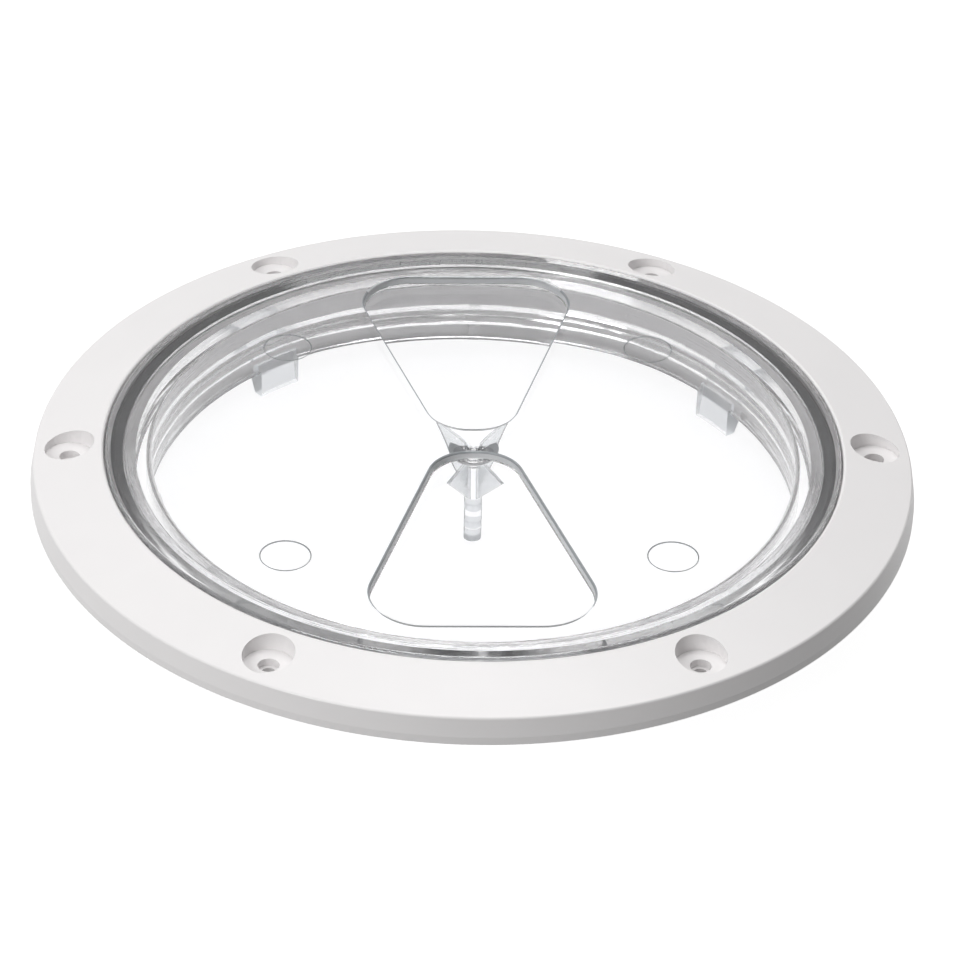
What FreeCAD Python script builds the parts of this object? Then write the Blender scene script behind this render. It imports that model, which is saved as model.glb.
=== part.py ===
import FreeCAD, Part
import math
import os
import re
import Sketcher

# A deck inspection plate: a white flanged ring that is screwed to a deck, a clear lid that locks into
# its barrel with four bayonet lugs, and the round seal between them. The origin is the centre of the
# deck face, under the flange, and +Z points out of the deck. The lid is modelled locked.

# Driving sizes in millimetres and degrees. Heights and depths are measured from the deck face.
SIZES = {
    # Flange of the ring
    "flange_diameter": 206.8,
    "flange_width": 17.1,
    "lip_height": 10.0,
    "crown_angle": 11.9,
    "side_draft": 9.7,
    "rim_foot": 1.9,
    "edge_round": 0.7,
    "lip_round": 0.6,
    "flange_wall": 2.6,
    "rim_wall": 3.0,
    "rib_thickness": 1.8,
    "ribs_per_screw": 3,
    # Screw holes of the flange
    "hole_inset": 9.1,
    "hole_count": 6,
    "head_diameter": 11.7,
    "head_floor": 5.1,
    "shank_diameter": 4.8,
    "shank_floor": 3.2,
    "tip_diameter": 3.2,
    "boss_wall": 2.0,
    # Seat and barrel of the ring, and the ledges in the barrel
    "seat_height": 5.1,
    "seat_width": 5.1,
    "barrel_wall": 2.3,
    "barrel_depth": 14.3,
    "barrel_round": 0.5,
    "ledge_width": 2.0,
    "ledge_depth": 10.7,
    "ledge_thickness": 3.8,
    "ramp_rise": 0.9,
    "entry_angle": 15.0,
    "stop_angle": 2.0,
    "stop_drop": 3.2,
    "stop_play": 0.5,
    # Bayonet of the lid
    "lug_count": 4,
    "lug_azimuth": 37.0,
    "unlock_turn": 45.0,
    "lug_angle": 8.5,
    "lug_head": 3.5,
    "lug_length": 8.6,
    "lug_gap": 0.1,
    "lid_gap": 0.4,
    "skirt_gap": 0.4,
    "skirt_thickness": 2.5,
    "skirt_depth": 12.0,
    "skirt_round": 0.4,
    "root_round": 1.2,
    # Top plate of the lid
    "lid_proud": 0.1,
    "plate_thickness": 5.5,
    "lid_round": 0.8,
    "pocket_depth": 2.1,
    "bridge_width": 10.0,
    "pocket_margin": 2.9,
    "pocket_neck": 16.4,
    "pocket_mouth": 58.8,
    "neck_round": 10.0,
    "mouth_round": 12.2,
    "pocket_rim_round": 0.25,
    "pocket_floor_round": 0.3,
    "post_diameter": 4.3,
    "post_length": 23.1,
    "post_flare": 3.8,
    "mark_diameter": 11.7,
    "mark_margin": 7.4,
    "mark_azimuth": 45.0,
    "mark_count": 4,
    "mark_height": 0.45,
    # Seal
    "seal_inset": 3.3,
    "seal_section": 3.0,
    "seal_squeeze": 16.0,
    "seal_play": 0.05,
    "groove_angle": 12.0,
    "groove_wall": 1.3,
    "shoulder_lift": 0.4,
}

# Sizes that follow from the driving ones, each a formula in its own cell of the sheet
FOLLOWING = {
    "flange_radius": "flange_diameter / 2",
    "lip_radius": "flange_radius - flange_width",
    "rim_top": "(lip_height - (flange_width + rim_foot * tan(side_draft)) * tan(crown_angle))"
               " / (1 - tan(side_draft) * tan(crown_angle))",
    "rim_radius": "flange_radius - (rim_top - rim_foot) * tan(side_draft)",
    "core_inner": "lip_radius + flange_wall",
    "core_outer": "flange_radius - rim_wall",
    "hole_radius": "flange_radius - hole_inset",
    "bore_radius": "lip_radius - seat_width",
    "barrel_radius": "bore_radius + barrel_wall",
    "wall_middle": "bore_radius + barrel_wall / 2",
    "ledge_radius": "bore_radius - ledge_width",
    "ledge_start": "lug_azimuth + unlock_turn - 360 / lug_count + entry_angle / 2",
    "ledge_span": "360 / lug_count - entry_angle",
    "lid_radius": "lip_radius - lid_gap",
    "lid_top": "lip_height + lid_proud",
    "lid_under": "lid_top - plate_thickness",
    "skirt_radius": "ledge_radius - skirt_gap",
    "skirt_bore": "skirt_radius - skirt_thickness",
    "lug_radius": "bore_radius - skirt_gap",
    "pocket_reach": "skirt_bore - pocket_margin",
    "pocket_base": "lid_top - pocket_depth",
    "mark_radius": "skirt_bore - root_round - mark_margin - mark_diameter / 2",
    "seal_radius": "lip_radius - seal_inset",
    "seal_reach": "seal_section / 2 * (1 - seal_squeeze / 100)",
    "seal_inner": "seal_radius - seal_section",
    "seal_outer": "seal_radius + seal_section",
    "shoulder_radius": "seal_radius - seal_section / 2 - seal_play",
    "shoulder_height": "seat_height + shoulder_lift",
    "groove_radius": "lid_radius - groove_wall",
}


def crown(radius):
    """Height of the flange's sloping top at a radius."""
    return f"(lip_height - ({radius} - lip_radius) * tan(crown_angle))"


def groove_roof(radius):
    """Height of the lid's sloping face that presses on the seal, at a radius."""
    at_seal = "(seat_height + seal_reach + seal_reach / cos(groove_angle))"
    return f"({at_seal} + ({radius} - seal_radius) * tan(groove_angle))"


def ramp(azimuth):
    """Height of a ledge's underside, which rises towards the end where the lug comes in."""
    return f"(ramp_rise * ({azimuth} - ledge_start) / ledge_span - ledge_depth)"


LUG_TOP = f"({ramp('(lug_azimuth - lug_angle / 2)')} - lug_gap)"


def make_sheet(doc):
    """All sizes, one to a row: the name in A, and in B the number or the formula."""
    sheet = doc.addObject("Spreadsheet::Sheet", "Sizes")
    cells = [(alias, str(value)) for alias, value in SIZES.items()]
    cells += [(alias, "=" + formula) for alias, formula in FOLLOWING.items()]
    for row, (alias, content) in enumerate(cells, 1):
        sheet.set(f"A{row}", alias)
        sheet.setAlias(f"B{row}", alias)
        sheet.set(f"B{row}", content)
    doc.recompute()
    return sheet


def size_of(body, alias):
    """The number in a cell of the sheet."""
    return float(body.Document.Sizes.get(alias))


def bind(thing, prop, formula):
    """Tie a property to the sheet. Names in the formula that hold an underscore are its cells."""
    thing.setExpression(prop, re.sub(r"\b([a-z]+_\w+)\b", r"Sizes.\1", formula))


def origin_part(body, role):
    """A plane or axis of the body's own origin."""
    return next(item for item in body.Origin.OriginFeatures if item.Role == role)


def finish(body, feature):
    """Make the feature the body's last one and work it out."""
    body.Tip = feature
    body.Document.recompute()
    return feature


# Sketches
def place_point(sketch, line, end, across, up):
    """Hold one end of a line at two formulas, measured from the sketch's origin."""
    for kind, formula in (("DistanceX", across), ("DistanceY", up)):
        index = sketch.addConstraint(Sketcher.Constraint(kind, -1, 1, line, end, 1.0))
        bind(sketch, f"Constraints[{index}]", formula)


def outline(sketch, corners):
    """A closed outline of straight lines through corners given as pairs of formulas."""
    count = len(corners)
    turn = 2 * math.pi / count
    spots = [FreeCAD.Vector(math.cos(turn * i), math.sin(turn * i), 0) for i in range(count)]
    for i in range(count):
        sketch.addGeometry(Part.LineSegment(spots[i], spots[(i + 1) % count]), False)
    for i in range(count):
        sketch.addConstraint(Sketcher.Constraint("Coincident", i, 2, (i + 1) % count, 1))
    for i, (across, up) in enumerate(corners):
        place_point(sketch, i, 1, across, up)


def round_outline(sketch, across, up, diameter):
    """A circle whose centre and diameter are formulas."""
    spot = sketch.addGeometry(Part.Circle(FreeCAD.Vector(1, 1, 0), FreeCAD.Vector(0, 0, 1), 1.0), False)
    place_point(sketch, spot, 3, across, up)
    index = sketch.addConstraint(Sketcher.Constraint("Diameter", spot, 1.0))
    bind(sketch, f"Constraints[{index}]", diameter)


def new_sketch(body, name, plane):
    sketch = body.newObject("Sketcher::SketchObject", name)
    sketch.AttachmentSupport = [(origin_part(body, plane), "")]
    sketch.MapMode = "FlatFace"
    return sketch


def upright_sketch(body, name, azimuth="0"):
    """A sketch in the half-plane at an azimuth: radius to the right, height upwards."""
    sketch = new_sketch(body, name, "XZ_Plane")
    sketch.AttachmentOffset = FreeCAD.Placement(
        FreeCAD.Vector(), FreeCAD.Rotation(FreeCAD.Vector(0, 1, 0), 1.0))
    bind(sketch, "AttachmentOffset.Rotation.Angle", azimuth)
    return sketch


def flat_sketch(body, name, height="0"):
    """A sketch that looks down on the part at a height."""
    sketch = new_sketch(body, name, "XY_Plane")
    bind(sketch, "AttachmentOffset.Base.z", height)
    return sketch


# Features
def turned(body, name, sketch, angle="360", kind="Revolution"):
    """Turn an upright sketch about the part's axis, by half the angle to each side."""
    feature = body.newObject(f"PartDesign::{kind}", name)
    feature.Profile = sketch
    feature.ReferenceAxis = (sketch, ["V_Axis"])
    feature.Midplane = True
    bind(feature, "Angle", angle)
    return finish(body, feature)


def block(body, name, corners, azimuth, angle):
    """A piece of a ring with an upright section, centred on an azimuth."""
    sketch = upright_sketch(body, name + "_section", azimuth)
    outline(sketch, corners)
    return turned(body, name, sketch, angle)


def pad(body, name, sketch, length, downwards=False):
    feature = body.newObject("PartDesign::Pad", name)
    feature.Profile = sketch
    feature.Reversed = downwards
    bind(feature, "Length", length)
    return finish(body, feature)


def pocket(body, name, sketch, length, upwards=False):
    feature = body.newObject("PartDesign::Pocket", name)
    feature.Profile = sketch
    feature.Reversed = upwards
    bind(feature, "Length", length)
    return finish(body, feature)


def around(body, name, features, count):
    """Repeat features evenly about the part's axis."""
    pattern = body.newObject("PartDesign::PolarPattern", name)
    pattern.Originals = features
    pattern.Axis = (origin_part(body, "Z_Axis"), [""])
    bind(pattern, "Occurrences", count)
    return finish(body, pattern)


def rounded(body, name, radius, chosen):
    """A fillet on the edges of the body so far that the test chooses."""
    last = body.Tip
    names = [f"Edge{i}" for i, edge in enumerate(last.Shape.Edges, 1) if chosen(edge)]
    if not names:
        raise ValueError(f"{name}: no edge to round")
    feature = body.newObject("PartDesign::Fillet", name)
    feature.Base = (last, names)
    bind(feature, "Radius", radius)
    return finish(body, feature)


# How near an edge must lie to where it is looked for, and the points tested along it
CLOSE = 1e-3
EDGE_POINTS = 9


def ring_edge(radius, height):
    """Test for circular edges about the part's axis at a radius and a height."""
    def test(edge):
        if not isinstance(edge.Curve, Part.Circle):
            return False
        centre = edge.Curve.Center
        on_axis = math.hypot(centre.x, centre.y) < CLOSE
        return on_axis and abs(edge.Curve.Radius - radius) < CLOSE and abs(centre.z - height) < CLOSE
    return test


def level_edge(height, inside):
    """Test for edges that lie at one height with every point inside a radius of the axis."""
    def test(edge):
        points = edge.discretize(EDGE_POINTS)
        level = all(abs(point.z - height) < CLOSE for point in points)
        return level and all(math.hypot(point.x, point.y) < inside for point in points)
    return test


def upright_edge(low, high, inner, outer):
    """Test for straight edges along Z between two heights and between two radii."""
    def test(edge):
        if not isinstance(edge.Curve, Part.Line):
            return False
        box = edge.BoundBox
        spans = abs(box.ZMin - low) < CLOSE and abs(box.ZMax - high) < CLOSE
        return spans and inner < math.hypot(box.Center.x, box.Center.y) < outer
    return test


# The white ring
def make_frame_ring(doc):
    body = doc.addObject("PartDesign::Body", "frame_ring")
    blank = upright_sketch(body, "ring_section")
    outline(blank, [
        ("bore_radius", "-barrel_depth"), ("barrel_radius", "-barrel_depth"), ("barrel_radius", "0"),
        ("flange_radius", "0"), ("flange_radius", "rim_foot"),
        ("flange_radius - (lip_height - rim_foot) * tan(side_draft)", "lip_height"),
        ("lip_radius", "lip_height"), ("lip_radius", "seat_height"), ("bore_radius", "seat_height")])
    turned(body, "ring_blank", blank)
    hollow_the_flange(body)
    cut_the_crown(body)
    round_the_ring(body)
    drill_the_flange(body)
    add_ledges(body)
    return body


def hollow_the_flange(body):
    """The flange is an even wall with a hollow underside, screw bosses and radial ribs."""
    hollow = upright_sketch(body, "hollow_section")
    outline(hollow, [
        ("core_inner", "0"), ("core_outer", "0"),
        ("core_outer", f"{crown('core_outer')} - flange_wall"),
        ("core_inner", f"{crown('core_inner')} - flange_wall")])
    turned(body, "hollow", hollow, kind="Groove")
    boss_sketch = flat_sketch(body, "boss_outline")
    round_outline(boss_sketch, "hole_radius", "0", "head_diameter + 2 * boss_wall")
    fill_height = f"{crown('core_inner')} - flange_wall / 2"
    boss = pad(body, "boss", boss_sketch, fill_height)
    around(body, "bosses", [boss], "hole_count")
    rib_sketch = flat_sketch(body, "rib_outline")
    half = "rib_thickness / 2"
    inner = "core_inner - flange_wall / 2"
    outer = "core_outer + rim_wall / 2"
    outline(rib_sketch, [
        (inner, f"-{half}"), (outer, f"-{half}"), (outer, half), (inner, half)])
    rib = pad(body, "rib", rib_sketch, fill_height)
    around(body, "ribs", [rib], "hole_count * ribs_per_screw")


def cut_the_crown(body):
    """The flange's top falls away from the lip to the rim."""
    beyond = "flange_radius + rim_wall"
    crown_sketch = upright_sketch(body, "crown_section")
    outline(crown_sketch, [
        ("lip_radius", "lip_height"), (beyond, crown(f"({beyond})")),
        (beyond, "lip_height + rim_wall"), ("lip_radius", "lip_height + rim_wall")])
    turned(body, "crown", crown_sketch, kind="Groove")


def drill_the_flange(body):
    """Stepped screw holes: a flat seat for the head, the shank's hole and a narrow end."""
    steps = []
    for name, diameter, floor in (
            ("head_seat", "head_diameter", "head_floor"),
            ("shank_hole", "shank_diameter", "shank_floor"),
            ("tip_hole", "tip_diameter", "0")):
        sketch = flat_sketch(body, name + "_outline", floor)
        round_outline(sketch, "hole_radius", "0", diameter)
        steps.append(pocket(body, name, sketch, "lip_height", upwards=True))
    around(body, "screw_holes", steps, "hole_count")


def add_ledges(body):
    """Four ledges with a rising underside, an entry gap between each two, and stops for the lugs."""
    section = upright_sketch(body, "ledge_section", "ledge_start")
    outline(section, [
        ("ledge_radius", "-ledge_depth"), ("wall_middle", "-ledge_depth"),
        ("wall_middle", "ledge_thickness - ledge_depth"), ("ledge_radius", "ledge_thickness - ledge_depth")])
    ledge = body.newObject("PartDesign::AdditiveHelix", "ledge")
    ledge.Profile = section
    ledge.ReferenceAxis = (section, ["V_Axis"])
    ledge.Mode = "height-turns-angle"
    bind(ledge, "Height", "ramp_rise")
    bind(ledge, "Turns", "ledge_span / 360")
    finish(body, ledge)
    stop_corners = [
        ("ledge_radius", "-ledge_depth - stop_drop"), ("wall_middle", "-ledge_depth - stop_drop"),
        ("wall_middle", "ledge_thickness / 2 - ledge_depth"),
        ("ledge_radius", "ledge_thickness / 2 - ledge_depth")]
    beside_lug = "(lug_angle / 2 + stop_play + stop_angle / 2)"
    locked_stop = block(
        body, "locked_stop", stop_corners, f"lug_azimuth - {beside_lug}", "stop_angle")
    open_stop = block(
        body, "open_stop", stop_corners, f"lug_azimuth + unlock_turn + {beside_lug}", "stop_angle")
    around(body, "ledges", [ledge, locked_stop, open_stop], "lug_count")


def round_the_ring(body):
    rounded(body, "rim_edge", "edge_round",
            ring_edge(size_of(body, "rim_radius"), size_of(body, "rim_top")))
    rounded(body, "lip_edge", "lip_round",
            ring_edge(size_of(body, "lip_radius"), size_of(body, "lip_height")))
    rounded(body, "barrel_edge", "barrel_round",
            ring_edge(size_of(body, "barrel_radius"), -size_of(body, "barrel_depth")))


# The clear lid
def make_lid(doc):
    body = doc.addObject("PartDesign::Body", "lid")
    blank = upright_sketch(body, "lid_section")
    outline(blank, [
        ("0", "lid_under"), ("skirt_bore", "lid_under"),
        ("skirt_bore", "-skirt_depth"), ("skirt_radius", "-skirt_depth"),
        ("skirt_radius", "shoulder_height"), ("shoulder_radius", "shoulder_height"),
        ("shoulder_radius", groove_roof("shoulder_radius")), ("groove_radius", groove_roof("groove_radius")),
        ("lid_radius", groove_roof("groove_radius")), ("lid_radius", "lid_top"), ("0", "lid_top")])
    turned(body, "lid_blank", blank)
    round_the_lid(body)
    add_lugs(body)
    press_pockets(body)
    add_post(body)
    add_marks(body)
    return body


def round_the_lid(body):
    rounded(body, "lid_edge", "lid_round",
            ring_edge(size_of(body, "lid_radius"), size_of(body, "lid_top")))
    rounded(body, "skirt_root", "root_round",
            ring_edge(size_of(body, "skirt_bore"), size_of(body, "lid_under")))
    rounded(body, "skirt_edge", "skirt_round",
            ring_edge(size_of(body, "skirt_radius"), -size_of(body, "skirt_depth")))


def add_lugs(body):
    """Bayonet lugs: a head under the ledge and a tongue that tapers to slip into the barrel."""
    lug = block(body, "lug", [
        ("skirt_bore", LUG_TOP), ("lug_radius", LUG_TOP), ("lug_radius", f"{LUG_TOP} - lug_head"),
        ("skirt_radius", f"{LUG_TOP} - lug_length"), ("skirt_bore", f"{LUG_TOP} - lug_length")],
        "lug_azimuth", "lug_angle")
    around(body, "lugs", [lug], "lug_count")


def press_pockets(body):
    """Two finger pockets in the top, with the grip's bridge between their narrow ends."""
    sketch = flat_sketch(body, "pocket_outline", "lid_top")
    outline(sketch, [
        ("-pocket_neck / 2", "bridge_width / 2"), ("pocket_neck / 2", "bridge_width / 2"),
        ("pocket_mouth / 2", "pocket_reach"), ("-pocket_mouth / 2", "pocket_reach")])
    finger = pocket(body, "finger_pocket", sketch, "pocket_depth")
    mirror = body.newObject("PartDesign::Mirrored", "finger_pockets")
    mirror.Originals = [finger]
    mirror.MirrorPlane = (origin_part(body, "XZ_Plane"), [""])
    finish(body, mirror)
    top = size_of(body, "lid_top")
    floor = size_of(body, "pocket_base")
    middle = size_of(body, "pocket_reach") / 2
    inside = size_of(body, "seal_radius")
    rounded(body, "neck_corners", "neck_round", upright_edge(floor, top, 0, middle))
    rounded(body, "mouth_corners", "mouth_round", upright_edge(floor, top, middle, inside))
    rounded(body, "pocket_floor", "pocket_floor_round", level_edge(floor, inside))
    rounded(body, "pocket_rim", "pocket_rim_round", level_edge(top, inside))


def add_post(body):
    """The short round post under the middle of the plate, flared where it leaves the plate."""
    sketch = flat_sketch(body, "post_outline", "lid_under")
    round_outline(sketch, "0", "0", "post_diameter")
    pad(body, "post", sketch, "post_length", downwards=True)
    rounded(body, "post_root", "post_flare",
            ring_edge(size_of(body, "post_diameter") / 2, size_of(body, "lid_under")))


def add_marks(body):
    """Low round discs that the mould's ejector pins leave on the underside."""
    sketch = flat_sketch(body, "mark_outline", "lid_under")
    round_outline(sketch, "mark_radius * cos(mark_azimuth)", "mark_radius * sin(mark_azimuth)",
                  "mark_diameter")
    mark = pad(body, "mark", sketch, "mark_height", downwards=True)
    around(body, "marks", [mark], "mark_count")


# The seal
def make_seal(doc):
    """A round ring, flattened where the seat and the lid squeeze it."""
    body = doc.addObject("PartDesign::Body", "seal_ring")
    section = upright_sketch(body, "seal_section_outline")
    round_outline(section, "seal_radius", "seat_height + seal_reach", "seal_section")
    turned(body, "seal_blank", section)
    below = upright_sketch(body, "seat_flat_outline")
    outline(below, [
        ("seal_inner", "seat_height"), ("seal_inner", "seat_height - seal_section"),
        ("seal_outer", "seat_height - seal_section"), ("seal_outer", "seat_height")])
    turned(body, "seat_flat", below, kind="Groove")
    clear_height = f"{groove_roof('seal_outer')} + seal_section"
    above = upright_sketch(body, "lid_flat_outline")
    outline(above, [
        ("seal_inner", groove_roof("seal_inner")), ("seal_outer", groove_roof("seal_outer")),
        ("seal_outer", clear_height), ("seal_inner", clear_height)])
    turned(body, "lid_flat", above, kind="Groove")
    return body


def check(doc, bodies):
    """Stop before anything is written if an object failed or a piece is not one sound solid."""
    for item in doc.Objects:
        if {"Invalid", "Error"} & set(item.State):
            raise RuntimeError(f"{item.Name}: {item.State}")
    for body in bodies:
        if body.Shape.isNull() or not body.Shape.isValid() or len(body.Shape.Solids) != 1:
            raise RuntimeError(f"{body.Label}: not one sound solid")


def main():
    doc = FreeCAD.newDocument("deck_inspection_plate")
    make_sheet(doc)
    bodies = [make_frame_ring(doc), make_lid(doc), make_seal(doc)]
    doc.recompute()
    check(doc, bodies)
    os.makedirs("parts", exist_ok=True)
    for body in bodies:
        body.Shape.exportStep(os.path.join("parts", body.Label + ".step"))
        box = body.Shape.BoundBox
        print(f"{body.Label}: {body.Shape.Volume:.0f} mm3, Z {box.ZMin:.2f} to {box.ZMax:.2f}")


main()
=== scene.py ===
"""Looks of a deck inspection plate: white screw-down ring, clear bayonet lid and rubber seal.

Sizes are in millimetres and angles in degrees, in the model's own frame; the origin is the centre of the
deck face and +Z points out of the deck. Meshes are turned to metres when they are made.
"""

import math

import bmesh
import bpy
import numpy as np
from mathutils import Matrix, Vector
from mathutils.geometry import delaunay_2d_cdt


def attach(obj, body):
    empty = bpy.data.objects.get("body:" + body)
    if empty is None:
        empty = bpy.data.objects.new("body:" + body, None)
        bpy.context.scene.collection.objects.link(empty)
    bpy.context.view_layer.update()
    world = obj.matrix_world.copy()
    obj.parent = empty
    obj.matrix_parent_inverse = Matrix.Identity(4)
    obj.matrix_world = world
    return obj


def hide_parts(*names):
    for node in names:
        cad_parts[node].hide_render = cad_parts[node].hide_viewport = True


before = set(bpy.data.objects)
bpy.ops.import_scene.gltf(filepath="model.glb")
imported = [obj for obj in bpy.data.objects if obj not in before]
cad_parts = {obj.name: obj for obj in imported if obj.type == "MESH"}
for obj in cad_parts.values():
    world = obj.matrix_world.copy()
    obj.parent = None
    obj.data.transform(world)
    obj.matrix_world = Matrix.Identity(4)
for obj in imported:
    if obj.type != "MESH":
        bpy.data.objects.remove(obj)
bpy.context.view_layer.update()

MM = 0.001

# Flange: the crown falls outwards from the lip, and the side leans in above an upright foot
FLANGE_R = 103.4
LIP_R = 86.3
LIP_TOP = 10.0
CROWN_ANGLE = 11.9
SIDE_DRAFT = 9.7
RIM_FOOT = 1.9
EDGE_ROUND = 0.7
LIP_ROUND = 0.6

# Hollow underside of the flange, with ribs and a boss round each screw hole
FLANGE_WALL = 2.6
CORE_INNER = 88.9
CORE_OUTER = 100.4
RIB = 1.8
RIB_COUNT = 18
BOSS_R = 7.85

# Screw holes; a step is its radius and the height at which it starts
HOLE_CIRCLE = 94.3
HOLE_COUNT = 6
HOLE_STEPS = [(5.85, LIP_TOP), (2.4, 5.1), (1.6, 3.2)]

# Barrel
BORE_R = 81.2
BARREL_R = 83.5
BARREL_DEPTH = 14.3
BARREL_ROUND = 0.5

# Ledges of the bayonet, the gaps that let the lugs in, and the stops at both ends of the turn
LEDGE_R = 79.2
LEDGE_ROOT = 0.5
LEDGE_DEPTH = 10.7
LEDGE_THICKNESS = 3.8
RAMP_RISE = 0.9
ENTRY_ANGLE = 15.0
UNLOCK_TURN = 45.0
STOP_ANGLE = 2.0
STOP_DROP = 3.2
STOP_PLAY = 0.5

# Lid's plate and rim; the groove over the seal has a sloping roof
LID_R = 85.9
LID_TOP = 10.1
LID_ROUND = 0.8
PLATE_UNDER = 4.6
RIM_UNDER = 5.2
GROOVE_R = 84.6
GROOVE_ANGLE = 12.0
SHOULDER_R = 81.45
SHOULDER_Z = 5.5

# Lid's skirt, with a bead that stands out of it and a line cut into it, at the heights of their corners
SKIRT_R = 78.8
SKIRT_BORE = 76.3
SKIRT_END = -12.0
SKIRT_ROUND = 0.4
ROOT_ROUND = 1.2
BEAD_REACH = 1.0
BEAD_HEIGHTS = (-2.0, -4.2, -5.3, -5.8)
LINE_DEPTH = 0.35
LINE_HEIGHTS = (-7.3, -7.45, -8.2)

# Lugs: an upright head, then a taper down to the end
LUG_COUNT = 4
LUG_AZIMUTH = 37.0
LUG_ANGLE = 8.5
LUG_R = 80.8
LUG_TOP = -10.4
LUG_HEAD = 3.5
LUG_END = -19.0

# Finger pockets: the plan of the one at +Y, and how many points of its section make the rounded rim
POCKET_FLOOR = 8.0
POCKET_CORNERS = [(-8.2, 5.0), (8.2, 5.0), (29.4, 73.4), (-29.4, 73.4)]
POCKET_ROUNDS = [10.0, 10.0, 12.2, 12.2]
POCKET_RIM = 0.5
POCKET_FILLET = 0.3
RIM_POINTS = 16

# Post, its bands from and to a height, and half the angle of the painted shade down its sides in the view
POST_R = 2.15
POST_FLARE = 3.8
POST_END = -18.5
POST_BANDS = ((-8.0, -9.9), (-12.9, -14.8), (-16.6, -18.3))
SIDE_SHADE_ANGLE = 24.0

# Thin webs between the post and the plate, seen as a cross through the grip's bridge
GUSSET_AZIMUTHS = (54.0, 126.0, 244.0, 296.0)
GUSSET_REACH = 14.5
GUSSET_FOOT = -6.4
GUSSET_THICKNESS = 0.8

# Round marks under the plate
MARK_COUNT = 4
MARK_AZIMUTH = 45.0
MARK_CIRCLE = 61.85
MARK_R = 5.85
MARK_DEPTH = 0.45
MARK_BEVEL = 0.25

# Seal: its middle stands off its seat and off the groove's roof by the reach; a film of air parts two faces
SEAL_R = 83.0
SEAL_SECTION = 3.0
SEAL_REACH = 1.26
SEAT_Z = 5.1
FILM = 0.01

# Finishes of the lid, in the order of its materials; the satin and the edge finish carry painted shade
POLISHED, SATIN_AND_SHADE, TURNED, FINE, EDGE_SHADE, VEIL, WEB = range(7)

# How finely curves are cut: columns round the axis, points round a small circle, and degrees of an arc
COLUMNS = 480
CIRCLE_POINTS = 72
ARC_STEP = 6.0
FLARE_POINTS = 12
BOSS_POINTS = 24
CORE_POINTS = 26
LEDGE_COLUMNS = 76
STOP_COLUMNS = 5
CROWN_STEP = 1.2
CROWN_MARGIN = 0.8

# An edge sharper than this isn't smoothed, and a run has a point this near each end to keep it flat
SHARP_ANGLE = 17
NEAR_END = 0.02

# Points closer than WELD are joined, in a sheet those closer than TOUCH; edges shorter than NEEDLE go.
# TINY keeps two numbers apart, and a column nearer to a lug's side than COLUMN_GAP is left out
WELD = 0.001
TOUCH = 1e-5
NEEDLE = 0.0001
TINY = 1e-9
COLUMN_GAP = 0.1

# Clear plastic and its turned rings, which are long along the ring and narrow across it
POLYCARBONATE_IOR = 1.585
RING_RUN = 14.0
RING_WIDTH = 0.5

# The Mix node's two colour inputs and its colour output
MIX_A, MIX_B, MIX_RESULT = 6, 7, 2

# Paper floor: its glow and the light on it come to white together, so that a faint shadow stays
FLOOR_REACH = 2500.0
PAPER_GLOW = 0.95

# Studio light from a direction: its dot product with SKY_WAY plus SKY_BASE, but never below nothing
SKY_WAY = (-0.1, 0.42, 0.1)
SKY_BASE = 0.3

# Soft boxes: name, azimuth, elevation, distance and width in metres, power in watts
LAMPS = (("side", 230.0, 30.0, 1.5, 0.7, 11.6), ("key", 60.0, 80.0, 1.5, 0.9, 10.8))

# Camera, solved from the six screw holes and the flange's outline; it sees as far as 20 metres
FOCAL = 155.046
SENSOR = 36.0
SIGHT = 20000.0
AIM_HEIGHT = 8.3
CAMERA_DISTANCE = 967.24
CAMERA_ELEVATION = 33.485
CAMERA_YAW = -2.754
CAMERA_PAN = -0.101
CAMERA_TILT = -0.463
CAMERA_ROLL = 1.745

# Light is thrown back many times inside the clear lid before it comes out
BOUNCES = 32


# Shapes as arrays
def rounded_path(corners, rounds, closed=False):
    """Straight runs between corners, with an arc of the given radius in each corner.

    The arc touches both runs at radius / tan(half the corner's angle) from the corner. A run that isn't
    very short keeps a point close to each of its ends, so that its shading stays flat.
    """
    corners = np.asarray(corners, float)
    count = len(corners)
    points = []
    for i in range(count):
        here = corners[i]
        if rounds[i] == 0 or (not closed and i in (0, count - 1)):
            points.append([here])
            continue
        before = corners[i - 1] - here
        after = corners[(i + 1) % count] - here
        before /= np.linalg.norm(before)
        after /= np.linalg.norm(after)
        half = math.acos(np.clip(before @ after, -1, 1)) / 2
        middle = (before + after) / np.linalg.norm(before + after)
        centre = here + middle * rounds[i] / math.sin(half)
        start = here + before * rounds[i] / math.tan(half) - centre
        sweep = math.pi - 2 * half
        side = np.sign(before[0] * after[1] - before[1] * after[0])
        steps = max(2, math.ceil(math.degrees(sweep) / ARC_STEP))
        turn = -side * np.linspace(0, sweep, steps + 1)
        points.append(np.stack([
            centre[0] + start[0] * np.cos(turn) - start[1] * np.sin(turn),
            centre[1] + start[0] * np.sin(turn) + start[1] * np.cos(turn)], -1))
    path = []
    for i in range(count):
        path.append(np.asarray(points[i], float))
        if i == count - 1 and not closed:
            break
        low = path[-1][-1]
        high = np.asarray(points[(i + 1) % count][0], float)
        run = np.linalg.norm(high - low)
        if run > 4 * NEAR_END:
            short = (high - low) * NEAR_END / run
            path.append(np.stack([low + short, high - short]))
    return np.concatenate(path)


def outward_normals(path):
    """Unit normals of a closed path that runs anticlockwise: the mean of the two runs at each point."""
    ahead = np.roll(path, -1, 0) - path
    ahead /= np.linalg.norm(ahead, axis=1)[:, None] + TINY
    along = ahead + np.roll(ahead, 1, 0)
    along /= np.linalg.norm(along, axis=1)[:, None]
    return np.stack([along[:, 1], -along[:, 0]], -1)


def even(count):
    """Azimuths of points spread evenly round a circle: 360 degrees shared out, starting at 0."""
    return np.arange(count) * 360.0 / count


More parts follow.
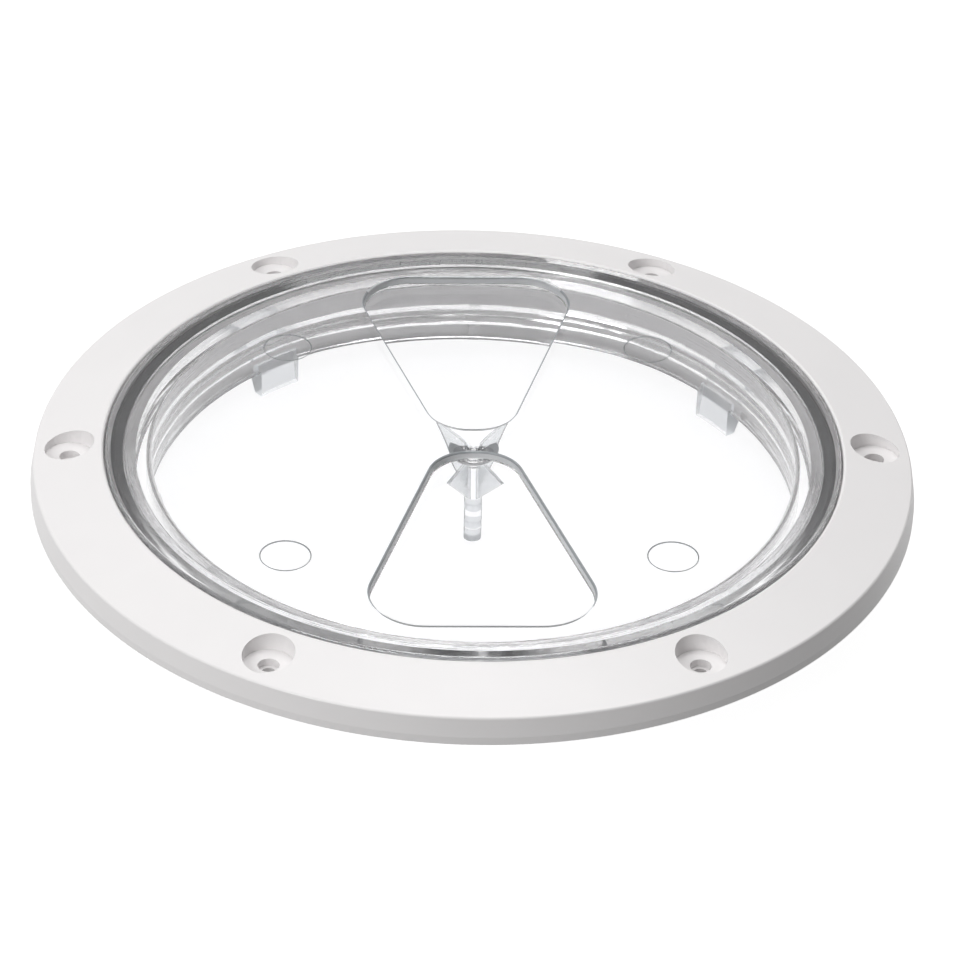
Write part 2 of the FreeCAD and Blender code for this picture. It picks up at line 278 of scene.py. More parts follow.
def circle(radius, azimuths, centre=(0.0, 0.0)):
    """Points at the azimuths on a circle: centre plus radius times cosine and sine."""
    angle = np.radians(azimuths)
    return np.stack([centre[0] + radius * np.cos(angle), centre[1] + radius * np.sin(angle)], -1)


def turned(profiles, azimuths, centre=(0.0, 0.0)):
    """A grid: column i is profile i (radius, height) set up at azimuth i round an upright axis."""
    profiles = np.broadcast_to(profiles, (len(azimuths),) + np.shape(profiles)[-2:])
    angle = np.radians(azimuths)[:, None]
    radius = profiles[..., 0]
    return np.stack([
        centre[0] + radius * np.cos(angle), centre[1] + radius * np.sin(angle), profiles[..., 1]], -1)


def band(grid, finish=0):
    """A smooth closed band: quads between neighbouring columns of a grid, and from its last to its first.

    finish is the number of its material, or a list with one for each face.
    """
    columns, rows = grid.shape[:2]
    i = np.arange(columns)[:, None]
    j = np.arange(rows - 1)[None, :]
    here = i * rows + j
    beside = (i + 1) % columns * rows + j
    faces = np.stack([here, beside, beside + 1, here + 1], -1).reshape(-1, 4)
    return grid.reshape(-1, 3), faces.tolist(), True, finish


def sheet(loops, height, within=(), smooth=False):
    """The face between an outer loop and the loops of its holes, as triangles.

    A triangle stays where a line from its middle crosses the loops an odd number of times. The height is
    a number, or a function of the points. Points within make the triangles small where the face curves.
    """
    flat = np.concatenate(loops + list(within))
    edges = []
    start = 0
    for loop in loops:
        index = start + np.arange(len(loop))
        edges += np.stack([index, np.roll(index, -1)], -1).tolist()
        start += len(loop)
    points, _, faces, _, _, _ = delaunay_2d_cdt([Vector(p) for p in flat], edges, [], 0, TOUCH)
    points = np.array([tuple(p) for p in points])
    faces = np.array(faces)
    middle = points[faces].mean(1)
    low = np.concatenate(loops)
    high = np.concatenate([np.roll(loop, -1, 0) for loop in loops])
    x, y = middle[:, :1], middle[:, 1:]
    spans = (low[None, :, 1] > y) != (high[None, :, 1] > y)
    rise = np.where(high[:, 1] == low[:, 1], TINY, high[:, 1] - low[:, 1])
    reach = low[None, :, 0] + (y - low[None, :, 1]) * ((high[:, 0] - low[:, 0]) / rise)[None, :]
    keep = (spans & (x < reach)).sum(1) % 2 == 1
    up = height(points) if callable(height) else np.full(len(points), float(height))
    return np.column_stack([points, up]), faces[keep].tolist(), smooth, 0


def upright(loop, start, end):
    """A wall that follows a loop: each point at the start's and the end's height, one or one for each."""
    ends = [np.column_stack([loop, np.broadcast_to(height, len(loop))]) for height in (start, end)]
    return band(np.stack(ends, 1))


def make_piece(name, parts, body, node):
    """One closed mesh from parts that share their borders; it rides on the body and replaces the node.

    A part is its points, its faces, whether they are smooth, and the number of their material.
    """
    points = np.concatenate([part[0] for part in parts]) * MM
    faces = []
    smooth = []
    finish = []
    start = 0
    for part_points, part_faces, part_smooth, part_finish in parts:
        faces += [[start + k for k in face] for face in part_faces]
        smooth += [part_smooth] * len(part_faces)
        finish += part_finish if isinstance(part_finish, list) else [part_finish] * len(part_faces)
        start += len(part_points)
    mesh = bpy.data.meshes.new(name)
    mesh.from_pydata(points.tolist(), [], faces)
    mesh.polygons.foreach_set("use_smooth", smooth)
    mesh.polygons.foreach_set("material_index", finish)
    work = bmesh.new()
    work.from_mesh(mesh)
    bmesh.ops.remove_doubles(work, verts=work.verts, dist=WELD * MM)
    bmesh.ops.dissolve_degenerate(work, edges=work.edges, dist=NEEDLE * MM)
    bmesh.ops.recalc_face_normals(work, faces=work.faces)
    work.to_mesh(mesh)
    work.free()
    mesh.set_sharp_from_angle(angle=math.radians(SHARP_ANGLE))
    piece = bpy.data.objects.new(name, mesh)
    bpy.context.scene.collection.objects.link(piece)
    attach(piece, body)
    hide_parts(node)
    return piece


# Clear lid
def groove_roof(radius):
    """Height of the sloping face over the seal: it leaves the seal's middle by the reach, square to it."""
    slope = math.radians(GROOVE_ANGLE)
    at_seal = SEAT_Z + SEAL_REACH + SEAL_REACH / math.cos(slope)
    return at_seal + (radius - SEAL_R) * math.tan(slope)


def lid_profiles():
    """The lid's outline as radius and height, without and with a lug.

    It runs from the rim of the top face down the outside, in over the seal, down the skirt with its bead
    and its line, round the foot or the lug, and up the bore to the plate's underside. Both outlines have as
    many points, so that neighbouring columns of either kind join up; where a lug starts or ends, the two
    stand at the same azimuth and the quads between them are the lug's flat side.
    """
    bead = list(zip((SKIRT_R, SKIRT_R + BEAD_REACH, SKIRT_R + BEAD_REACH, SKIRT_R), BEAD_HEIGHTS))
    line = list(zip((SKIRT_R, SKIRT_R - LINE_DEPTH, SKIRT_R), LINE_HEIGHTS))
    corners = [
        (LID_R - LID_ROUND, LID_TOP), (LID_R, LID_TOP), (LID_R, RIM_UNDER), (GROOVE_R, RIM_UNDER),
        (GROOVE_R, groove_roof(GROOVE_R)), (SHOULDER_R, groove_roof(SHOULDER_R)),
        (SHOULDER_R, SHOULDER_Z), (SKIRT_R, SHOULDER_Z), *bead, *line, (SKIRT_R, LUG_TOP)]
    above = rounded_path(corners, [0, LID_ROUND] + [0] * (len(corners) - 2))
    foot = rounded_path(
        [(SKIRT_R, SKIRT_END + 3 * SKIRT_ROUND), (SKIRT_R, SKIRT_END), (SKIRT_BORE, SKIRT_END)],
        [0, SKIRT_ROUND, 0])
    plain = np.concatenate([[(SKIRT_R, LUG_TOP)], foot[:-1], [(SKIRT_BORE, SKIRT_END)] * 2])
    taper = np.linspace((LUG_R, LUG_TOP - LUG_HEAD), (SKIRT_R, LUG_END), len(foot) - 1)
    lug = np.concatenate([[(LUG_R, LUG_TOP)], taper, [(SKIRT_BORE, LUG_END), (SKIRT_BORE, SKIRT_END)]])
    below = rounded_path(
        [(SKIRT_BORE, SKIRT_END), (SKIRT_BORE, PLATE_UNDER), (SKIRT_BORE - ROOT_ROUND, PLATE_UNDER)],
        [0, ROOT_ROUND, 0])[1:]
    return np.concatenate([above, plain, below]), np.concatenate([above, lug, below])


def lid_columns():
    """Azimuths of the lid's columns, and which of them pass through a lug.

    They are spread evenly, apart from two at each side of each lug, one plain and one through the lug. A
    column too near to a lug's side is left out.
    """
    half = LUG_ANGLE / 2
    middles = LUG_AZIMUTH + even(LUG_COUNT)
    base = even(COLUMNS)
    nearest = np.abs((base[:, None] - middles[None, :] + 180) % 360 - 180).min(1)
    clear = np.abs(nearest - half) > COLUMN_GAP
    base, nearest = base[clear], nearest[clear]
    starts = middles - half
    ends = middles + half
    azimuths = np.concatenate([base, starts, starts + TINY, ends, ends + TINY])
    sides = np.repeat([False, True, True, False], LUG_COUNT)
    inside = np.concatenate([nearest < half, sides])
    order = np.argsort(azimuths % 360)
    return (azimuths % 360)[order], inside[order]


def lid_side(azimuths, in_lug):
    """The lid's outlines turned into one band, with a finish for each face.

    The skirt and its bore show turning marks, the groove and the outside from the bead down show fine
    ones, the lugs are veiled and the rest is polished.
    """
    plain, lug = lid_profiles()
    profiles = np.where(in_lug[:, None, None], lug[None], plain[None])
    low = np.minimum(plain[1:], plain[:-1])
    high = np.maximum(plain[1:], plain[:-1])
    skirt = high[:, 0] < SHOULDER_R + FILM
    beads = skirt & (low[:, 0] > SKIRT_BORE) & (high[:, 1] < BEAD_HEIGHTS[0] + FILM)
    groove = ~skirt & (high[:, 0] < GROOVE_R + FILM) & (low[:, 1] > RIM_UNDER + FILM)
    rows = np.select([beads, skirt, groove], [FINE, TURNED, FINE], POLISHED)
    finish = np.tile(rows, (len(azimuths), 1))
    touches_lug = in_lug | np.roll(in_lug, -1)
    lug_rows = (high[:, 1] < 0) & (low[:, 1] < LUG_TOP - FILM) & (high[:, 0] > SKIRT_BORE + FILM)
    finish[touches_lug[:, None] & lug_rows[None, :]] = VEIL
    return band(turned(profiles, azimuths), finish.reshape(-1).tolist())


def pocket(side):
    """Rim, wall and floor of one finger pocket, and the loop that it leaves in the plate's top.

    The section, a rounded rim, an upright wall and a fillet, is carried round the pocket's plan along the
    plan's outward normals. side is 1 for the pocket at +Y, and -1 for the same one turned half round. The
    rim is a dark grey line of painted shade, milky and paler along the outer edge; the wall is satin with a
    grey of painted shade, and the fillet is polished.
    """
    section = rounded_path(
        [(POCKET_RIM, LID_TOP), (0, LID_TOP), (0, POCKET_FLOOR), (-POCKET_FILLET, POCKET_FLOOR)],
        [0, POCKET_RIM, POCKET_FILLET, 0])
    path = rounded_path(POCKET_CORNERS, POCKET_ROUNDS, closed=True)
    spots = (path[:, None, :] + outward_normals(path)[:, None, :] * section[None, :, :1]) * side
    heights = np.broadcast_to(section[None, :, 1:], spots.shape[:2] + (1,))
    grid = np.concatenate([spots, heights], -1)
    outer_edge = path[:, 1] > POCKET_CORNERS[2][1] - POCKET_ROUNDS[2] / 2
    # Painted shade: the rim is a dark grey line, milky and paler along the outer edge
    rim = np.repeat(np.where(outer_edge, VEIL, EDGE_SHADE), RIM_POINTS - 1)
    # The wall's satin grey is partly painted shade
    wall = np.where(section[RIM_POINTS:, 1] > POCKET_FLOOR + POCKET_FILLET - FILM, SATIN_AND_SHADE, POLISHED)
    parts = [
        band(grid[:, :RIM_POINTS], rim.tolist()),
        band(grid[:, RIM_POINTS - 1:], np.tile(wall, len(path)).tolist()),
        sheet([spots[:, -1]], POCKET_FLOOR)]
    return parts, spots[:, 0]


def mark(azimuth):
    """A low round boss under the plate with a bevelled edge, and the loop that it leaves in the plate."""
    centre = circle(MARK_CIRCLE, [azimuth])[0]
    columns = even(CIRCLE_POINTS)
    end = PLATE_UNDER - MARK_DEPTH
    wall = np.array([(MARK_R, PLATE_UNDER), (MARK_R, end + MARK_BEVEL), (MARK_R - MARK_BEVEL, end)])
    face = sheet([circle(MARK_R - MARK_BEVEL, columns, centre)], end)
    # Its bevelled wall is a dark grey line of painted shade
    return [band(turned(wall, columns, centre), EDGE_SHADE), face], circle(MARK_R, columns, centre)


def post():
    """The post under the bridge, a flare and a round shaft, and the loop that it leaves in the plate.

    A face is veiled where the middle of its height is in a band. Elsewhere it is dark grey as painted
    shade where the middle of its azimuth is within the side shade's half angle of 0 or 180 degrees, the
    sides of its outline in the view, and polished where it isn't.
    """
    flare = rounded_path(
        [(POST_R + POST_FLARE, PLATE_UNDER), (POST_R, PLATE_UNDER), (POST_R, POST_END)],
        [0, POST_FLARE, 0])[:-2]
    ends = [height for stretch in POST_BANDS for height in stretch]
    section = np.concatenate([flare, [(POST_R, height) for height in ends + [POST_END]]])
    shade_borders = [SIDE_SHADE_ANGLE, 180 - SIDE_SHADE_ANGLE, 180 + SIDE_SHADE_ANGLE, 360 - SIDE_SHADE_ANGLE]
    azimuths = np.sort(np.concatenate([even(CIRCLE_POINTS), shade_borders]))
    middle = (section[1:, 1] + section[:-1, 1]) / 2
    in_band = np.any([(low < middle) & (middle < high) for high, low in POST_BANDS], 0)
    turn = (azimuths + np.roll(azimuths, -1)) / 2
    turn[-1] = 0.0
    # Painted shade: the sides of the post's outline in the view, round 0 and 180 degrees, are dark grey
    side_shade = np.abs((turn + 90) % 180 - 90) < SIDE_SHADE_ANGLE
    finish = np.where(in_band[None, :], VEIL, np.where(side_shade[:, None], EDGE_SHADE, POLISHED))
    shaft = band(turned(section, azimuths), finish.reshape(-1).tolist())
    return [shaft, sheet([circle(POST_R, azimuths)], POST_END)], circle(POST_R + POST_FLARE, azimuths)


def gusset(azimuth):
    """A thin three-cornered web, a film of air away from the post and the plate.

    It follows the flare's quarter circle and the post down to its foot, and from there a straight edge
    runs out to its reach under the plate. Its two faces stand off this outline by half its thickness.
    """
    top = PLATE_UNDER - FILM
    turn = np.linspace(0, math.pi / 2, FLARE_POINTS)
    flare = POST_FLARE - FILM
    inner = np.stack([
        POST_R + POST_FLARE - flare * np.sin(turn), PLATE_UNDER - POST_FLARE + flare * np.cos(turn)], -1)
    inner[0, 1] = top
    loop = np.concatenate([inner, [(POST_R + FILM, GUSSET_FOOT), (GUSSET_REACH, top)]])
    way = circle(1.0, [azimuth])[0]
    across = np.array([-way[1], way[0]]) * GUSSET_THICKNESS / 2
    count = len(loop)
    sides = [np.column_stack([loop[:, :1] * way + sign * across, loop[:, 1]]) for sign in (1.0, -1.0)]
    here = np.arange(count)
    after = (here + 1) % count
    edge = np.stack([here, after, after + count, here + count], -1).tolist()
    faces = edge + [list(range(count)), list(range(2 * count - 1, count - 1, -1))]
    return np.concatenate(sides), faces, False, WEB


def make_lid():
    """The lid as one clear moulding: sides, pockets, marks, post and webs, joined by two flat sheets.

    The top sheet fills the ring between the lid's rim and the pockets, the lower one that between the
    skirt's root, the marks and the post.
    """
    azimuths, in_lug = lid_columns()
    parts = [lid_side(azimuths, in_lug)]
    # The two columns at a lug's side are one point of the sheets
    columns = np.unique(np.round(azimuths, 6))
    top = [circle(LID_R - LID_ROUND, columns)]
    for side in (1.0, -1.0):
        pocket_parts, loop = pocket(side)
        parts += pocket_parts
        top.append(loop)
    parts.append(sheet(top, LID_TOP))
    marks = []
    for azimuth in MARK_AZIMUTH + even(MARK_COUNT):
        mark_parts, loop = mark(azimuth)
        parts += mark_parts
        marks.append(loop)
    post_parts, loop = post()
    parts += post_parts
    parts += [gusset(azimuth) for azimuth in GUSSET_AZIMUTHS]
    parts.append(sheet([circle(SKIRT_BORE - ROOT_ROUND, columns), loop] + marks, PLATE_UNDER))
    return make_piece("clear_lid", parts, "cover", "lid")


# Rubber seal
def make_seal():
    """A round section, pressed flat where it meets the seat below and the lid's sloping face above.

    Points of the circle that lie beyond a flat are moved square onto it. The film leaves a hair's
    breadth of air, as between two pieces that only touch.
    """
    angle = np.radians(even(CIRCLE_POINTS))
    section = SEAL_SECTION / 2 * np.stack([np.cos(angle), np.sin(angle)], -1)
    slope = math.radians(GROOVE_ANGLE)
    for square in (np.array([0.0, -1.0]), np.array([-math.sin(slope), math.cos(slope)])):
        beyond = np.maximum(section @ square - (SEAL_REACH - FILM), 0)
        section = section - beyond[:, None] * square
    section = section + (SEAL_R, SEAT_Z + SEAL_REACH)
    loop = np.concatenate([section, section[:1]])
    parts = [band(turned(loop, even(COLUMNS)))]
    return make_piece("rubber_ring", parts, "cover", "seal_ring")


# White ring
def crown(points):
    """Height of the flange's top: it falls from the lip with the distance from the axis."""
    return LIP_TOP - (np.linalg.norm(points, axis=-1) - LIP_R) * math.tan(math.radians(CROWN_ANGLE))


def ring_profiles():
    """The ring's two outlines: from the crown's outer corner to the deck, and from its lip to the deck.

    The outer corner is where the crown's fall meets the side's lean. The inner outline goes from the lip
    down to the seal's seat, in to the bore, down the barrel and up its outside.
    """
    fall = math.tan(math.radians(CROWN_ANGLE))
    lean = math.tan(math.radians(SIDE_DRAFT))
    rim_z = (LIP_TOP - (FLANGE_R + RIM_FOOT * lean - LIP_R) * fall) / (1 - lean * fall)
    rim = (FLANGE_R - (rim_z - RIM_FOOT) * lean, rim_z)
    lip = (LIP_R, LIP_TOP)
    outside = rounded_path([lip, rim, (FLANGE_R, RIM_FOOT), (FLANGE_R, 0)], [0, EDGE_ROUND, 0, 0])
    inside = rounded_path([
        rim, lip, (LIP_R, SEAT_Z), (BORE_R, SEAT_Z), (BORE_R, -BARREL_DEPTH), (BARREL_R, -BARREL_DEPTH),
        (BARREL_R, 0)], [0, LIP_ROUND, 0, 0, 0, BARREL_ROUND, 0])
    return outside[2:], inside[2:]


def screw_hole(centre):
    """One stepped hole, from the crown to the deck face: each step is an upright wall and a level floor."""
    azimuths = even(CIRCLE_POINTS)
    parts = []
    for index, (radius, top) in enumerate(HOLE_STEPS):
        rim = circle(radius, azimuths, centre)
        high = crown(rim) if index == 0 else top
        low = HOLE_STEPS[index + 1][1] if index + 1 < len(HOLE_STEPS) else 0.0
        parts.append(upright(rim, high, low))
        if low > 0:
            parts.append(sheet([rim, circle(HOLE_STEPS[index + 1][0], azimuths, centre)], low))
    return parts


def stand_off(radius, kind):
    """Degrees from the middle line of a rib or boss to where its side meets a circle about the axis.

    The sine of a rib's is half its width over the radius; the cosine of a boss's follows from the three
    sides of the triangle between the axis, the boss's middle and the meeting point.
    """
    if kind == "rib":
        return math.degrees(math.asin(RIB / 2 / radius))
    along = (radius ** 2 - BOSS_R ** 2 + HOLE_CIRCLE ** 2) / (2 * HOLE_CIRCLE)
    return math.degrees(math.acos(along / radius))


def cell(start, span, kinds):
    """Outline of one hollow under the flange, between two ribs or a rib and a boss.

    It runs out along the first side, back round the outer wall, in along the second side and round the
    inner wall. A side is straight along a rib, or an arc of the boss.
    """
    sides = []
    for kind, sign in zip(kinds, (1.0, -1.0)):
        base = start if sign > 0 else start + span
        inner, outer = (base + sign * stand_off(radius, kind) for radius in (CORE_INNER, CORE_OUTER))
        ends = np.concatenate([circle(CORE_INNER, [inner]), circle(CORE_OUTER, [outer])])
        if kind == "boss":
            middle = circle(HOLE_CIRCLE, [base])[0]
            way = ends - middle
            turn = np.degrees(np.arctan2(way[:, 1], way[:, 0]))
            turn[1] = turn[0] + (turn[1] - turn[0] + 180) % 360 - 180
            ends = circle(BOSS_R, np.linspace(turn[0], turn[1], BOSS_POINTS), middle)
        sides.append((inner, outer, ends))
    (inner_1, outer_1, first), (inner_2, outer_2, second) = sides
    outside = circle(CORE_OUTER, np.linspace(outer_1, outer_2, CORE_POINTS))[1:-1]
    inside = circle(CORE_INNER, np.linspace(inner_2, inner_1, CORE_POINTS))[1:-1]
    return np.concatenate([first, outside, second[::-1], inside])


def ledge_block(azimuths, low, high):
    """A block that stands out of the bore: a four-cornered upright section carried round the azimuths.

    low and high are its heights, each a number or one for every azimuth. It starts a little inside the
    barrel's wall.
    """
    count = len(azimuths)
    low, high = np.broadcast_to(low, count), np.broadcast_to(high, count)
    inner, outer = np.full(count, LEDGE_R), np.full(count, BORE_R + LEDGE_ROOT)
    section = np.stack([
        np.stack([inner, low], -1), np.stack([outer, low], -1),
        np.stack([outer, high], -1), np.stack([inner, high], -1)], 1)
    grid = turned(section, azimuths)
    i = np.arange(count - 1)[:, None]
    j = np.arange(4)[None, :]
    after = (j + 1) % 4
    faces = np.stack([i * 4 + j, (i + 1) * 4 + j, (i + 1) * 4 + after, i * 4 + after], -1)
    ends = [[0, 1, 2, 3], [count * 4 - 4 + k for k in (3, 2, 1, 0)]]
    return grid.reshape(-1, 3), faces.reshape(-1, 4).tolist() + ends, True, 0


def bayonet(middle):
    """The ledge over the lug that locks at an azimuth, and the stops at both ends of that lug's turn.

    The ledge fills the way between two entry gaps and rises evenly along its length, as a helix does.
    """
    pitch = 360 / LUG_COUNT
    share = np.linspace(0, 1, LEDGE_COLUMNS)
    start = middle + UNLOCK_TURN - pitch + ENTRY_ANGLE / 2
    low = RAMP_RISE * share - LEDGE_DEPTH
    parts = [ledge_block(start + share * (pitch - ENTRY_ANGLE), low, low + LEDGE_THICKNESS)]
    beside_lug = LUG_ANGLE / 2 + STOP_PLAY + STOP_ANGLE / 2
    for azimuth in (middle - beside_lug, middle + UNLOCK_TURN + beside_lug):
        span = azimuth + STOP_ANGLE * np.linspace(-0.5, 0.5, STOP_COLUMNS)
        parts.append(ledge_block(span, -LEDGE_DEPTH - STOP_DROP, LEDGE_THICKNESS / 2 - LEDGE_DEPTH))
    return parts


def make_ring():
    """Flange, seat and barrel as turned bands; crown and deck face as sheets with their holes cut out.

    Rings of points within the crown's sheet, one crown step apart, make it follow the cone, and points
    beside each of its edges keep its shading even.
    """
    outside, inside = ring_profiles()
    columns = even(COLUMNS)
    parts = [band(turned(outside, columns)), band(turned(inside, columns))]
    centres = circle(HOLE_CIRCLE, even(HOLE_COUNT))
    for centre in centres:
        parts += screw_hole(centre)
    outer, inner, hole = outside[0, 0], inside[0, 0], HOLE_STEPS[0][0]
    radii = np.arange(inner + CROWN_STEP, outer - CROWN_MARGIN, CROWN_STEP)
    grid = np.concatenate([circle(radius, columns) for radius in radii])
    apart = np.linalg.norm(grid[:, None] - centres[None], axis=-1).min(1) - hole
    within = [circle(hole + step, even(CIRCLE_POINTS), centre)
              for centre in centres for step in (NEAR_END, CROWN_STEP / 2)]
    within += [circle(outer - NEAR_END, columns), circle(inner + NEAR_END, columns)]
    within.append(grid[apart > CROWN_STEP])
    edges = [circle(outer, columns), circle(inner, columns)]
    edges += [circle(hole, even(CIRCLE_POINTS), centre) for centre in centres]
    parts.append(sheet(edges, crown, within, smooth=True))
    cells = []
    for index in range(RIB_COUNT):
        at_hole = [(k * HOLE_COUNT) % RIB_COUNT == 0 for k in (index, index + 1)]
        kinds = ["boss" if here else "rib" for here in at_hole]
        cells.append(cell(index * 360 / RIB_COUNT, 360 / RIB_COUNT, kinds))
    for loop in cells:
        parts.append(upright(loop, 0.0, crown(loop) - FLANGE_WALL))
        parts.append(sheet([loop], lambda points: crown(points) - FLANGE_WALL))
    tips = [circle(HOLE_STEPS[-1][0], even(CIRCLE_POINTS), centre) for centre in centres]
    deck = [circle(FLANGE_R, columns), circle(BARREL_R, columns)]
    parts.append(sheet(deck + cells + tips, 0.0))
    for middle in LUG_AZIMUTH + even(LUG_COUNT):
        parts += bayonet(middle)
    return make_piece("white_ring", parts, "ring", "frame_ring")


# Materials
def colour(code):
    """Linear colour of sRGB hex: c / 12.92 up to 0.04045, and above it ((c + 0.055) / 1.055) ** 2.4."""
    values = [int(code[i:i + 2], 16) / 255 for i in (1, 3, 5)]
    return tuple(c / 12.92 if c <= 0.04045 else ((c + 0.055) / 1.055) ** 2.4 for c in values) + (1.0,)


def add_node(tree, kind, sockets=None, **settings):
    """A node with its settings; each of its sockets takes a number or another node's output."""
    node = tree.nodes.new(kind)
    for name, value in settings.items():
        setattr(node, name, value)
    for name, value in (sockets or {}).items():
        if isinstance(value, bpy.types.NodeSocket):
            tree.links.new(value, node.inputs[name])
        else:
            node.inputs[name].default_value = value
    return node


def new_material(name):
    """A material and its node tree, emptied."""
    material = bpy.data.materials.new(name)
    material.use_nodes = True
    material.node_tree.nodes.clear()
    return material, material.node_tree


def white_abs():
    """Injection-moulded white ABS from a spark-eroded mould: a soft satin gloss over a very fine grain."""
    material, tree = new_material("white_abs_moulded")
    place = add_node(tree, "ShaderNodeTexCoord").outputs["Object"]
    # The eroded grain is about 0.05 mm; it is drawn at 0.35 mm, as fine as the render can show
    grain = add_node(tree, "ShaderNodeTexNoise", {
        "Vector": place, "Scale": 1 / (0.35 * MM), "Detail": 3.0, "Roughness": 0.6})
    # The wall sinks and swells a little over some 15 mm as it cools
    sink = add_node(tree, "ShaderNodeTexNoise", {"Vector": place, "Scale": 1 / (15 * MM), "Detail": 1.0})
    fine = add_node(tree, "ShaderNodeBump", {
        "Height": grain.outputs["Fac"], "Strength": 0.35, "Distance": 0.02 * MM})
    wavy = add_node(tree, "ShaderNodeBump", {
        "Height": sink.outputs["Fac"], "Normal": fine.outputs["Normal"], "Strength": 0.5,
        "Distance": 0.03 * MM})
    tone = add_node(tree, "ShaderNodeMix", {
        "Factor": sink.outputs["Fac"], MIX_A: colour("#ebe9e9"), MIX_B: colour("#e7e5e5")},
        data_type="RGBA")
    shader = add_node(tree, "ShaderNodeBsdfPrincipled", {
        "Base Color": tone.outputs[MIX_RESULT], "Roughness": 0.38, "IOR": 1.53,
        "Normal": wavy.outputs["Normal"]})
    add_node(tree, "ShaderNodeOutputMaterial", {"Surface": shader.outputs[0]})
    return material


def clear_plastic(name, tone, roughness, clarity):
    """Clear polycarbonate: glass-like off the polished mould, satin where the mould was spark-eroded.

    The clarity is the share of the light that goes through; the rest is thrown back in the tone, a tint on
    most finishes and a grey of painted shade on the satin walls and the dull edges.
    """
    material, tree = new_material(name)
    place = add_node(tree, "ShaderNodeTexCoord").outputs["Object"]
    # The melt sets in slow waves, about 9 mm long
    flow = add_node(tree, "ShaderNodeTexNoise", {"Vector": place, "Scale": 1 / (9 * MM), "Detail": 1.0})
    waves = add_node(tree, "ShaderNodeBump", {
        "Height": flow.outputs["Fac"], "Strength": 0.1, "Distance": 0.03 * MM})
    shader = add_node(tree, "ShaderNodeBsdfPrincipled", {
        "Base Color": colour(tone), "Roughness": roughness, "IOR": POLYCARBONATE_IOR,
        "Transmission Weight": clarity, "Normal": waves.outputs["Normal"]})
    add_node(tree, "ShaderNodeOutputMaterial", {"Surface": shader.outputs[0]})
    return material


def turned_plastic(name, depth, roughness):
    """Clear polycarbonate off a turned mould core: uneven rings of a depth run round the axis as streaks.

    The rings are noise whose third axis is radius plus height, stretched by ring run over ring width, so
    that they are narrow across and long along the ring.
    """
    material, tree = new_material(name)
    place = add_node(tree, "ShaderNodeTexCoord").outputs["Object"]
    parts = add_node(tree, "ShaderNodeSeparateXYZ", {0: place})
    flat = add_node(tree, "ShaderNodeCombineXYZ", {"X": parts.outputs["X"], "Y": parts.outputs["Y"]})
    radius = add_node(tree, "ShaderNodeVectorMath", {0: flat.outputs[0]}, operation="LENGTH")
    across = add_node(tree, "ShaderNodeMath", {
        0: radius.outputs["Value"], 1: parts.outputs["Z"]}, operation="ADD")
    across = add_node(tree, "ShaderNodeMath", {
        0: across.outputs[0], 1: RING_RUN / RING_WIDTH}, operation="MULTIPLY")
    spot = add_node(tree, "ShaderNodeCombineXYZ", {
        "X": parts.outputs["X"], "Y": parts.outputs["Y"], "Z": across.outputs[0]})
    rings = add_node(tree, "ShaderNodeTexNoise", {
        "Vector": spot.outputs[0], "Scale": 1 / (RING_RUN * MM), "Detail": 2.0})
    marks = add_node(tree, "ShaderNodeBump", {
        "Height": rings.outputs["Fac"], "Strength": 1.0, "Distance": depth * MM})
    shader = add_node(tree, "ShaderNodeBsdfPrincipled", {
        "Base Color": colour("#fdfdfe"), "Roughness": roughness, "IOR": POLYCARBONATE_IOR,
        "Transmission Weight": 1.0, "Normal": marks.outputs["Normal"]})
    add_node(tree, "ShaderNodeOutputMaterial", {"Surface": shader.outputs[0]})
    return material


def lid_finishes():
    """The lid's finishes in the order of their numbers, each off another face of the mould."""
    return (
        # Flat faces off polished steel are as clear as glass
        clear_plastic("clear_polycarbonate_polished", "#fdfdfe", 0.0, 1.0),
        # Eroded pocket walls; their grey and low clarity paint the grey bands of shade that they show
        clear_plastic("clear_polycarbonate_satin_and_shade", "#dfe1e3", 0.35, 0.25),
        # The skirt's core was turned, and its marks draw streaks
        turned_plastic("clear_polycarbonate_turned", 0.11, 0.05),
        # The groove, the bead and the line were turned finer, and their streaks stay sharp
        turned_plastic("clear_polycarbonate_turned_fine", 0.012, 0.04),
        # Painted shade: rims, marks' walls and the post's sides in the view are a mostly opaque dark grey
        # line
        clear_plastic("clear_polycarbonate_edge_shade", "#8e9296", 0.3, 0.3),
        # Lugs, bands of the post and the pockets' outer rims are eroded thinly and look milky
        clear_plastic("clear_polycarbonate_veiled", "#e0e4e8", 0.35, 0.85),
        # Webs are nearly clear with a trace of grey
        clear_plastic("clear_polycarbonate_web", "#e8eaec", 0.15, 0.97))


def black_rubber():
    """Moulded black nitrile rubber: nearly matt, with a fine grain and a trace of bloom."""
    material, tree = new_material("black_nitrile_rubber")
    place = add_node(tree, "ShaderNodeTexCoord").outputs["Object"]
    # The grain is about 0.1 mm; it is drawn at 0.4 mm to show
    grain = add_node(tree, "ShaderNodeTexNoise", {"Vector": place, "Scale": 1 / (0.4 * MM), "Detail": 2.0})
    rough = add_node(tree, "ShaderNodeBump", {
        "Height": grain.outputs["Fac"], "Strength": 0.4, "Distance": 0.03 * MM})
    bloom = add_node(tree, "ShaderNodeMix", {
        "Factor": grain.outputs["Fac"], MIX_A: colour("#1a1a1d"), MIX_B: colour("#26262a")},
        data_type="RGBA")
    shader = add_node(tree, "ShaderNodeBsdfPrincipled", {
        "Base Color": bloom.outputs[MIX_RESULT], "Roughness": 0.55, "IOR": 1.52,
        "Normal": rough.outputs["Normal"]})
    add_node(tree, "ShaderNodeOutputMaterial", {"Surface": shader.outputs[0]})
    return material


